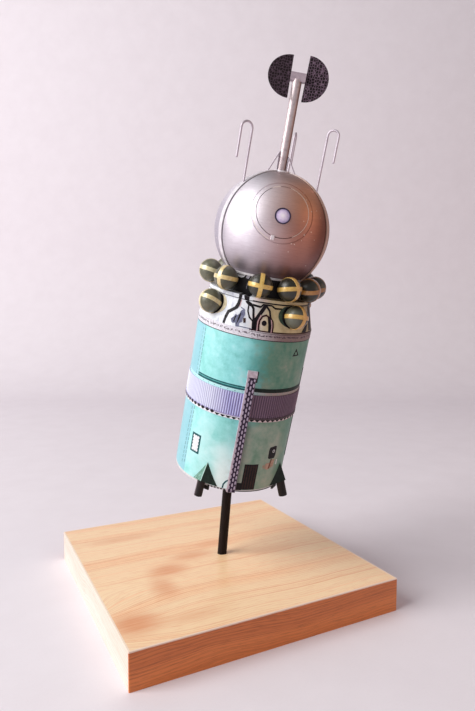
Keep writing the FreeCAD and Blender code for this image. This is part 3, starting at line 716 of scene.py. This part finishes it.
def vane_material():
    """Black card with a fine violet net, clearer to the right."""
    look = Look("vane_black", roughness=0.6, specular_ior_level=0.2)
    net = look.cells(0.80, look.joined(look.x, look.z * 0.92, 0.0), "DISTANCE_TO_EDGE", 0.55)
    net = net + (look.noise(0.5, 3.0) - 0.5) * 0.10
    look.color = look.ramp(net, (0.02, (112, 92, 108)), (0.08, (66, 48, 60)), (0.18, (22, 14, 16)))
    look.paint(look.fade(look.x, 2.0, -4.0) * 0.5, (34, 22, 26))
    return look.done(height=net, depth=0.04)


def dress(looks):
    """Puts a material on every CAD node, by the first name start that fits."""
    for name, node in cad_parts.items():
        fitting = [material for material, *starts in looks if name.startswith(tuple(starts))]
        node.data.materials.clear()
        node.data.materials.append(fitting[0])


def dress_all():
    white_card = plain_card("seat_white", (206, 202, 204), (230, 228, 230), (150, 140, 140))
    black_card = plain_card("drum_black", (14, 12, 14), (28, 25, 27), (58, 50, 48), specular=0.25)
    pink_card = plain_card("bar_pink", (156, 140, 150), (184, 168, 176), (120, 100, 104))
    wire = metal_material("wire_steel", (206, 196, 206), (140, 122, 130), 0.48, 0.6, 0.002)
    dark_metal = metal_material("bezel_dark", (74, 66, 92), (40, 34, 50), 0.35, 0.6, 0.004)
    dress([
        (grain_material("wood_top", "xy", *TOP_WOOD, knot=True), "stand_board"),
        (grain_material("wood_front", "xz", *FRONT_WOOD), "stand_edging_front"),
        (grain_material("wood_back", "xz", *FRONT_WOOD), "stand_edging_back"),
        (grain_material("wood_left_painted_lit", "yz", *LEFT_WOOD_PAINTED_LIT), "stand_edging_left"),
        (grain_material("wood_right", "yz", *FRONT_WOOD), "stand_edging_right"),
        (rod_material(), "stand_rod"),
        (tank_material(), "stage_tank"),
        (white_card, "bottom_disc", "capsule_seat"),
        (ring_material(), "top_ring"),
        (band_material(), "ribbed_band"),
        (hem_material(), "band_hem"),
        (duct_material(), "cable_duct", "duct_cap"),
        (fairing_material(), "nozzle_fairing"),
        (nozzle_material(), "nozzle_tube", "rim_tabs"),
        (cone_material(), "instrument_cone", "cone_rim"),
        (black_card, "waist_drum"),
        (bottle_material(), "gas_bottle"),
        (tape_material(), "bottle_straps"),
        (silver_material(), "capsule_ball", "hatch_lid"),
        (dark_metal, "porthole_bezel"),
        (lens_material(), "porthole_lens"),
        (strap_material(), "hatch_hinge", "capsule_strap", "crown"),
        (wire, "mast_struts", "hook_aerial"),
        (mast_material(), "mast"),
        (pink_card, "cross_bar"),
        (vane_material(), "vane_"),
    ])


# Drawing of prints: outlines are points of (x, height), and x is a length along the tank's skin

# Material and slot of each ink, filled in by print_all()
ink_looks = {}


def added(name, data):
    """A new object in the scene."""
    made = bpy.data.objects.new(name, data)
    bpy.context.scene.collection.objects.link(made)
    return made


def printed(name, outlines, place, ink, layer=1, step=1.0):
    """Thin closed slabs of print, cut every step so that they bend, laid on a surface by place()."""
    bm = bmesh.new()
    for outline in outlines:
        bm.faces.new([bm.verts.new((x, height, 0.0)) for x, height in outline])
    bmesh.ops.remove_doubles(bm, verts=bm.verts, dist=0.002)
    if step:
        low = min(v.co.x for v in bm.verts)
        high = max(v.co.x for v in bm.verts)
        for i in range(1, int((high - low) / step) + 1):
            everything = bm.verts[:] + bm.edges[:] + bm.faces[:]
            bmesh.ops.bisect_plane(
                bm, geom=everything, dist=1e-5, plane_co=(low + i * step, 0, 0), plane_no=(1, 0, 0))
    bmesh.ops.recalc_face_normals(bm, faces=bm.faces)
    for v in bm.verts:
        v.co.z = -PRINT_DOWN
    raised = bmesh.ops.extrude_face_region(bm, geom=bm.faces[:])
    for v in raised["geom"]:
        if isinstance(v, bmesh.types.BMVert):
            v.co.z = layer * PRINT_UP
    for v in bm.verts:
        v.co = on_stage(place(*v.co))
    bmesh.ops.recalc_face_normals(bm, faces=bm.faces)
    mesh = bpy.data.meshes.new(name)
    bm.to_mesh(mesh)
    bm.free()
    material, slot = ink_looks[ink]
    mesh.materials.append(material)
    piece = added(name, mesh)
    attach(piece, "root")


def wrapped(radius):
    """A way to lay print round a cylinder of that radius."""
    def place(x, height, up):
        return around(degrees(x / TANK_R), radius + up, height)
    return place


on_tank = wrapped(TANK_R)
on_ring = wrapped(TANK_R + RING_PROUD)
on_hem = wrapped(TANK_R + HEM_PROUD)
on_rim = wrapped(CONE_TOP_R + RIM_PROUD)
on_drum = wrapped(DRUM_R)


def on_cone(x, height, up):
    share = (height - TANK_TOP) / (CONE_TOP - TANK_TOP)
    return around(degrees(x / TANK_R), TANK_R + (CONE_TOP_R - TANK_R) * share + up, height)


def on_ledge(x, out, up):
    """Flat top of the rim: the second value is the distance from the axis."""
    return around(degrees(x / TANK_R), out, RIM_TOP + up)


def on_duct(x, height, up):
    """x runs across the duct's flat face."""
    return around(DUCT_AZIMUTH, TANK_R + DUCT_PROUD + up, height) + x * heading(DUCT_AZIMUTH + 90)


def on_ball(x, height, up):
    """x and height are arc lengths on the ball from the middle of the hatch."""
    middle = heading(*HATCH)
    right = heading(HATCH[0] + 90)
    above = middle.cross(right)
    reach = max(1e-6, (x * x + height * height) ** 0.5)
    aside = (right * x + above * height) / reach
    angle = reach / BALL_R
    return Vector((0, 0, BALL_CENTRE)) + (BALL_R + up) * (cos(angle) * middle + sin(angle) * aside)


def box(x0, x1, low, high):
    return [(x0, low), (x1, low), (x1, high), (x0, high)]


def patch(first, last, low, high):
    """A box round the tank between two azimuths."""
    return box(arc(first), arc(last), low, high)


def drawn(*points):
    """Points of (azimuth, height) as points along the tank's skin."""
    return [(arc(azimuth), height) for azimuth, height in points]


def stroke(points, width, closed=False):
    """A drawn line of that width, as mitred quads."""
    half = width / 2
    count = len(points)
    sides = []
    for i, point in enumerate(points):
        here = Vector(point)
        before = Vector(points[(i - 1) % count]) if closed or i else None
        after = Vector(points[(i + 1) % count]) if closed or i < count - 1 else None
        into = (here - before).normalized() if before is not None else (after - here).normalized()
        out = (after - here).normalized() if after is not None else into
        along = (into + out).normalized()
        normal = Vector((-along.y, along.x))
        reach = half / max(0.5, normal.dot(Vector((-into.y, into.x))))
        sides.append((tuple(here + normal * reach), tuple(here - normal * reach)))
    if closed:
        sides.append(sides[0])
    return [[a[1], b[1], b[0], a[0]] for a, b in zip(sides, sides[1:])]


def strokes(lines):
    made = []
    for width, points in lines:
        made += stroke(drawn(*points), width)
    return made


def dashes(first, last, length, gap, width):
    """A dashed line between two points of (azimuth, height)."""
    start, end = (Vector(point) for point in drawn(first, last))
    along = (end - start).normalized()
    made = []
    reach = 0.0
    while reach < (end - start).length - length / 2:
        a = start + along * reach
        b = start + along * min(reach + length, (end - start).length)
        made += stroke([tuple(a), tuple(b)], width)
        reach += length + gap
    return made


def circle(x, height, radius, corners=20, start=0.0, sweep=360.0):
    count = corners if sweep >= 360 else corners + 1
    points = []
    for i in range(count):
        angle = radians(start + sweep * i / corners)
        points.append((x + radius * cos(angle), height + radius * sin(angle)))
    return points


def printed_round(azimuth, half_wide, half_tall, middle):
    """Upright oval on the cone, cut off flat at the cone's top."""
    return [(arc(azimuth) + x * arc(half_wide), min(middle + y * half_tall, CONE_TOP - 0.1))
            for x, y in circle(0, 0, 1, 36)]


def scalloped(azimuth, height, half_wide, half_tall, bumps_wide, bumps_tall, depth):
    """A box outline whose sides run in scallops."""
    points = []
    corners = box(-half_wide, half_wide, -half_tall, half_tall)
    for i, bumps in enumerate((bumps_wide, bumps_tall, bumps_wide, bumps_tall)):
        start = Vector(corners[i])
        end = Vector(corners[(i + 1) % 4])
        inward = Vector((-(end - start).y, (end - start).x)).normalized()
        for k in range(bumps * 4):
            share = k / (bumps * 4)
            dip = depth * (1 - abs(sin(pi * bumps * share)))
            point = start.lerp(end, share) + inward * dip
            points.append((arc(azimuth) + point.x, height + point.y))
    return points


# Prints on the stage

def tank_lines():
    """Double line above the band, and the dark lines to the right of the duct."""
    first, last = SEAM_UPPER[1], STRIP_END + 360
    lines = [patch(first, last, *LINE_LOW), patch(first, last, *LINE_HIGH)]
    printed("tank_double_line", lines, on_tank, "teal", 2)
    filling = [patch(first, last, LINE_LOW[1] - 0.1, LINE_HIGH[0] + 0.1)]
    printed("tank_line_filling", filling, on_tank, "between")
    dark = [
        patch(LINE_JOINS, 150.0, LINE_LOW[0], LINE_HIGH[1]),
        patch(*LIMB, LINE_HIGH[1], 68.0),
        patch(*LIMB, 15.0, 40.6),
        patch(10.0, 76.0, 0.05, 0.45),
    ]
    printed("tank_dark_lines", dark, on_tank, "green_black", 3)


def tank_marks():
    """Panels, vent, arch and triangle printed on the tank."""
    printed("tank_hatch_frame", [patch(-45.2, -33.2, 15.2, 26.2)], on_tank, "teal")
    printed("tank_hatch_panel", [scalloped(-39.2, 20.7, 2.35, 4.6, 3, 5, 0.55)], on_tank, "white", 2)
    dark = stroke(drawn((47.4, 77.5), (54.4, 77.7), (50.2, 80.6)), 0.7, closed=True) + [
        drawn((41.0, 19.6), (42.6, 18.7), (50.4, 18.7), (51.4, 20.4), (51.4, 25.4), (49.4, 26.1),
              (41.6, 25.6), (40.8, 23.8)),
        patch(16.2, 31.0, 1.2, 16.4),
        patch(11.0, 17.0, 0.9, 5.2),
        box(arc(DUCT_AZIMUTH) + 2.4, arc(DUCT_AZIMUTH) + 3.3, 62.4, 68.4),
    ]
    printed("tank_dark_panels", dark, on_tank, "black")
    slats = [patch(17.6 + 2.7 * i, 18.5 + 2.7 * i, 2.0, 15.6) for i in range(5)]
    printed("vent_slats", slats, on_tank, "brown", 2)
    patches = [
        drawn((38.4, 13.4), (42.8, 12.2), (50.6, 13.6), (51.8, 17.6), (49.0, 18.2), (45.4, 16.4),
              (39.6, 16.2)),
        drawn((36.0, 15.0), (37.6, 12.8), (38.0, 15.8)),
    ]
    printed("tank_pink_patch", patches, on_tank, "pink")
    blotch = [drawn((43.6, 12.8), (45.6, 12.8), (47.2, 18.6), (45.4, 18.4))]
    printed("tank_brown_smear", blotch, on_tank, "rust", 2)
    marks = [patch(54.6, 56.2, 14.2, 17.2)]
    marks += stroke(circle(arc(47.4), 23.0, 0.75, 10), 0.3, closed=True)
    printed("tank_pale_marks", marks, on_tank, "white", 2)
    arch = stroke(drawn((-1.8, 1.0), (-1.4, 3.4), (0.6, 5.2), (4.0, 6.6)), 0.8)
    printed("tank_arch", arch, on_tank, "teal")


def seam_prints():
    """Dashed lines of the glued seam, with the paler strip between."""
    printed("seam_strip", [patch(*SEAM_UPPER, LINE_LOW[0], TANK_HEIGHT - 0.1)], on_tank, "pale")
    made = []
    for azimuth in SEAM_UPPER:
        made += dashes((azimuth, 57.6), (azimuth, 84.4), 1.5, 0.7, 0.28)
    made += dashes((-52.0, 6.0), (-49.0, 40.8), 1.8, 0.9, 0.3)
    made += dashes((-56.4, 5.0), (-53.2, 40.8), 1.8, 0.9, 0.3)
    printed("seam_dashes", made, on_tank, "grey", 2)


def band_prints():
    """Black diamonds and triangles along the hem, and the ticks above the band."""
    count = 64
    shapes = []
    for i in range(count):
        azimuth = -180 + 360 / count * (i + 0.5)
        outline = HEM_TRIANGLE if abs(azimuth - 35) < 55 else HEM_DIAMOND
        shapes.append([(arc(azimuth) + x, height) for x, height in outline])
    printed("hem_diamonds", shapes, on_hem, "black")
    ticks = [patch(-180 + 7.2 * i, -178.9 + 7.2 * i, 56.35, 56.7) for i in range(50)]
    printed("band_ticks", ticks, on_tank, "grey")


def ring_prints():
    """Thin dark lines of the ring, and the dark red foot line of the cone."""
    lines = [
        patch(-180, 180, TANK_HEIGHT + 0.05, TANK_HEIGHT + 0.38),
        patch(-4.0, 176, TANK_TOP - 0.55, TANK_TOP - 0.4),
    ]
    printed("ring_lines", lines, on_ring, "black")
    foot = patch(-4.0, 176, TANK_TOP + 0.1, TANK_TOP + 0.65)
    printed("cone_foot_line", [foot], on_cone, "maroon", 2)


def duct_prints():
    """Dark net down the duct's face with its pale elongated cells."""
    half = DUCT_WIDTH / 2
    net = [box(-half + 0.75, half - 0.1, 0.2, DUCT_HEIGHT - 0.1)]
    printed("duct_net", net, on_duct, "net", step=None)
    pitch = 3.07
    cells = []
    for x, half_wide, shift in ((-1.36, 0.34, 0.5), (0.14, 0.42, 0.0), (1.60, 0.38, 0.5)):
        for i in range(-1, int(DUCT_HEIGHT / pitch) + 2):
            middle = (i + shift) * pitch + 1.4
            low, high = max(0.3, middle - 1.2), min(DUCT_HEIGHT - 0.4, middle + 1.2)
            if high - low < 0.8:
                continue
            slope = min(0.55, (high - low) / 3)
            cells.append([(x, low), (x + half_wide, low + slope), (x + half_wide, high - slope),
                          (x, high), (x - half_wide, high - slope), (x - half_wide, low + slope)])
    printed("duct_cells", cells, on_duct, "cell", 2, step=None)


def cone_prints():
    """Pipes, arch and stains drawn on the cone, and the printed rounds behind the lower bottles."""
    dark = strokes(BLACK_LINES) + [
        circle(arc(9.1), 93.3, 1.3),
        drawn((53.0, 89.8), (61.0, 89.6), (66.4, 93.6), (60.4, 92.8), (56.6, 91.4)),
        patch(69.0, 79.0, 90.0, 102.4),
        patch(56.6, 58.6, 99.0, 102.4),
    ]
    printed("cone_pipes", dark, on_cone, "black", 2)
    printed("cone_arch", strokes(MAROON_LINES), on_cone, "maroon", 2)
    printed("cone_pale_lines", strokes(ROSE_LINES), on_cone, "rose", 3)
    slate = [drawn(
        (-23.4, 92.4), (-21.2, 93.6), (-19.9, 95.1), (-18.0, 94.6), (-16.3, 95.6), (-15.6, 97.0),
        (-14.2, 97.9), (-11.6, 97.9), (-10.6, 95.4), (-11.9, 93.6), (-11.8, 92.0), (-14.2, 91.2),
        (-13.8, 89.4), (-16.9, 89.2), (-18.3, 91.0), (-20.4, 90.4), (-22.1, 90.9))]
    slate += stroke(drawn((-16.2, 98.7), (-12.2, 98.0), (-10.8, 95.7)), 0.45)
    slate += stroke(drawn((-14.0, 89.7), (-2.0, 89.7)), 0.4)
    printed("cone_slate_patch", slate, on_cone, "slate", 2)
    streaks = [
        drawn((-20.6, 91.4), (-19.8, 94.4), (-18.8, 94.0), (-19.4, 91.2)),
        drawn((-17.0, 89.8), (-16.4, 94.6), (-15.2, 96.4), (-14.4, 95.0), (-15.6, 92.0)),
    ]
    printed("cone_dark_streaks", streaks, on_cone, "black", 3)
    brown = [drawn((-11.6, 93.9), (-9.2, 94.2), (-8.5, 92.0), (-10.4, 91.7))]
    printed("cone_brown_patch", brown, on_cone, "brown", 3)
    outer = [printed_round(azimuth, *ROUND_OUTER) for azimuth in LOWER_BOTTLES]
    printed("cone_rounds", outer, on_cone, "rounds", 3)
    inner = [printed_round(azimuth, *ROUND_INNER) for azimuth in LOWER_BOTTLES]
    printed("cone_round_rings", inner, on_cone, "black", 4)


def rim_prints():
    """The pipes run on over the cone's rim to the drum, above a thin line."""
    low, inside, outside = CONE_TOP + 0.05, DRUM_R + 0.1, CONE_TOP_R
    upright = [
        patch(-180, -6.0, CONE_TOP + 0.2, CONE_TOP + 0.5),
        patch(-6.0, 80.0, CONE_TOP + 0.15, CONE_TOP + 0.85),
        patch(80.0, 180, CONE_TOP + 0.2, CONE_TOP + 0.5),
        patch(69.0, 79.0, CONE_TOP + 0.8, RIM_TOP - 0.05),
        drawn((-21.2, low), (-17.9, low), (-17.7, RIM_TOP), (-21.4, RIM_TOP)),
        drawn((-14.2, low), (-9.6, low), (-9.8, RIM_TOP), (-16.0, RIM_TOP)),
    ]
    printed("rim_line", upright, on_rim, "black")
    ledge = [
        drawn((-21.6, inside), (-17.6, inside), (-17.7, outside), (-21.4, outside)),
        drawn((-17.0, inside), (-9.6, inside), (-9.8, outside), (-16.0, outside)),
    ]
    printed("ledge_pipes", ledge, on_ledge, "black", step=None)


def drum_prints():
    """Pale scraps of print between the upper bottles, and the white band at the top left."""
    band = [drawn((-44.0, 112.9), (-29.0, 112.2), (-25.4, 112.8), (-23.6, 114.0), (-44.0, 114.05))]
    printed("drum_white_band", band, on_drum, "white")
    line = stroke(drawn((-43.0, 113.75), (-30.0, 113.55), (-25.0, 113.7)), 0.3)
    printed("drum_black_line", line, on_drum, "black", 2)
    scraps = [
        drawn((-22.5, 112.6), (-18.4, 112.4), (-16.6, 114.0), (-21.4, 114.0)),
        drawn((-15.6, 112.4), (-11.6, 112.8), (-12.0, 113.8), (-15.4, 113.4)),
        drawn((-19.4, 107.4), (-18.7, 107.4), (-18.5, 110.4), (-19.2, 110.4)),
        drawn((-14.6, 107.0), (-13.4, 107.0), (-13.8, 109.6), (-14.6, 109.2)),
        drawn((9.4, 112.4), (12.6, 112.8), (10.2, 113.9)),
    ]
    printed("drum_scraps", scraps, on_drum, "scrap")


def hatch_prints():
    """Pale lines along the hatch's groove, a painted highlight, and a few specks where the paint has
    chipped.
    """
    made = []
    # Pale arcs along the groove: painted highlight
    for radius, start, end in ((13.3, -62, 78), (13.3, 100, 118), (15.2, 196, 250)):
        made += stroke(circle(0, 0, radius, 28, start, end - start), 0.22)
    for speck in ((12.6, -9.2, 0.32), (8.4, -14.8, 0.28), (11.8, -12.2, 0.22), (14.9, 3.4, 0.25)):
        made.append(circle(*speck, 8))
    printed("hatch_chips", made, on_ball, "chips_and_glints", step=None)


def foot_prints():
    """Black dashes along the foot of the tank, left of the duct."""
    made = [patch(-17.0 + 3.3 * i, -14.9 + 3.3 * i, 0.05, 0.75) for i in range(6)]
    printed("foot_dashes", made, on_tank, "black")


def print_all():
    ink_looks["rounds"] = (rounds_material(), "fairing_card")
    for name, (low, high, slot) in INKS.items():
        ink_looks[name] = (plain_card("ink_" + name, low, high, high, 0.6, 0.45, 0.2), slot)
    for prints in (tank_lines, tank_marks, seam_prints, band_prints, ring_prints, duct_prints,
                   cone_prints, rim_prints, drum_prints, foot_prints, hatch_prints):
        prints()


# Camera, light and floor

def make_camera():
    yaw, pitch, roll = radians(CAMERA_YAW), radians(CAMERA_PITCH), radians(CAMERA_ROLL)
    ahead = Vector((sin(yaw) * cos(pitch), cos(yaw) * cos(pitch), sin(pitch)))
    right = Vector((cos(yaw), -sin(yaw), 0))
    up = right.cross(ahead)
    rolled = cos(roll) * right + sin(roll) * up
    upward = -sin(roll) * right + cos(roll) * up
    data = bpy.data.cameras.new("camera")
    data.sensor_width = CAMERA_SENSOR
    data.lens = CAMERA_LENS
    data.clip_start = 0.01
    camera = added("camera", data)
    camera.matrix_world = Matrix.Translation(CAMERA_AT * MM) @ Matrix(
        (rolled, upward, -ahead)).transposed().to_4x4()
    bpy.context.scene.camera = camera


def make_lamp(name, at, wide, tall, power, color):
    data = bpy.data.lights.new(name, "AREA")
    data.shape = "RECTANGLE"
    data.size = wide
    data.size_y = tall
    data.energy = power
    data.color = color
    lamp = added(name, data)
    lamp.location = at
    lamp.rotation_mode = "QUATERNION"
    lamp.rotation_quaternion = (Vector(LAMPS_AIM) - Vector(at)).to_track_quat("-Z", "Y")


def make_lights():
    """A window on the left and a weak warm room on the right."""
    make_lamp("window_light", *WINDOW)
    make_lamp("room_light", *ROOM)
    world = bpy.data.worlds.new("room")
    bpy.context.scene.world = world
    world.use_nodes = True
    background = world.node_tree.nodes["Background"]
    background.inputs["Color"].default_value = AIR_COLOR
    background.inputs["Strength"].default_value = AIR_STRENGTH


def floor_material():
    """Pale table paper, paler where it is seen straight."""
    look = Look("table_paper", stage=False, roughness=0.85)
    look.color = look.clouded(look.noise(0.03), (212, 202, 209), (220, 211, 218), 0.2)
    look.paint(look.fade(look.noise(0.9, 3.0, 0.7), 0.5, 0.75) * 0.22, (190, 172, 180))
    seen = look.node("LightPath").outputs
    straight = Field(look, seen["Is Camera Ray"])
    for kind in ("Is Glossy Ray", "Is Transmission Ray"):
        straight = look.math("MAXIMUM", straight, Field(look, seen[kind]))
    look.paint(straight, look.mix(FLOOR_LIFT, look.color, (255, 250, 255)))
    look.put("Base Color", look.color)
    return look.material


def make_floor():
    """Pale table top that rises behind in one soft curve, in metres."""
    front, back, rise, bend, half = -1.9, 1.1, 1.3, 0.35, 2.2
    curve = circle(back - bend, bend, bend, 12, -90, 90)
    profile = [(front, 0.0)] + curve + [(back, rise)]
    yaw = Matrix.Rotation(radians(-CAMERA_YAW), 3, "Z")
    bm = bmesh.new()
    rows = []
    for y, z in profile:
        rows.append([bm.verts.new(yaw @ Vector((x, y, z - 1e-5))) for x in (-half, half)])
    for a, b in zip(rows, rows[1:]):
        bm.faces.new((a[0], a[1], b[1], b[0]))
    mesh = bpy.data.meshes.new("table_top")
    bm.to_mesh(mesh)
    bm.free()
    for face in mesh.polygons:
        face.use_smooth = True
    mesh.materials.append(floor_material())
    floor = added("table_top", mesh)


def main():
    bpy.context.scene.view_settings.view_transform = "Standard"
    make_camera()
    make_lights()
    make_floor()
    dress_all()
    print_all()


main()
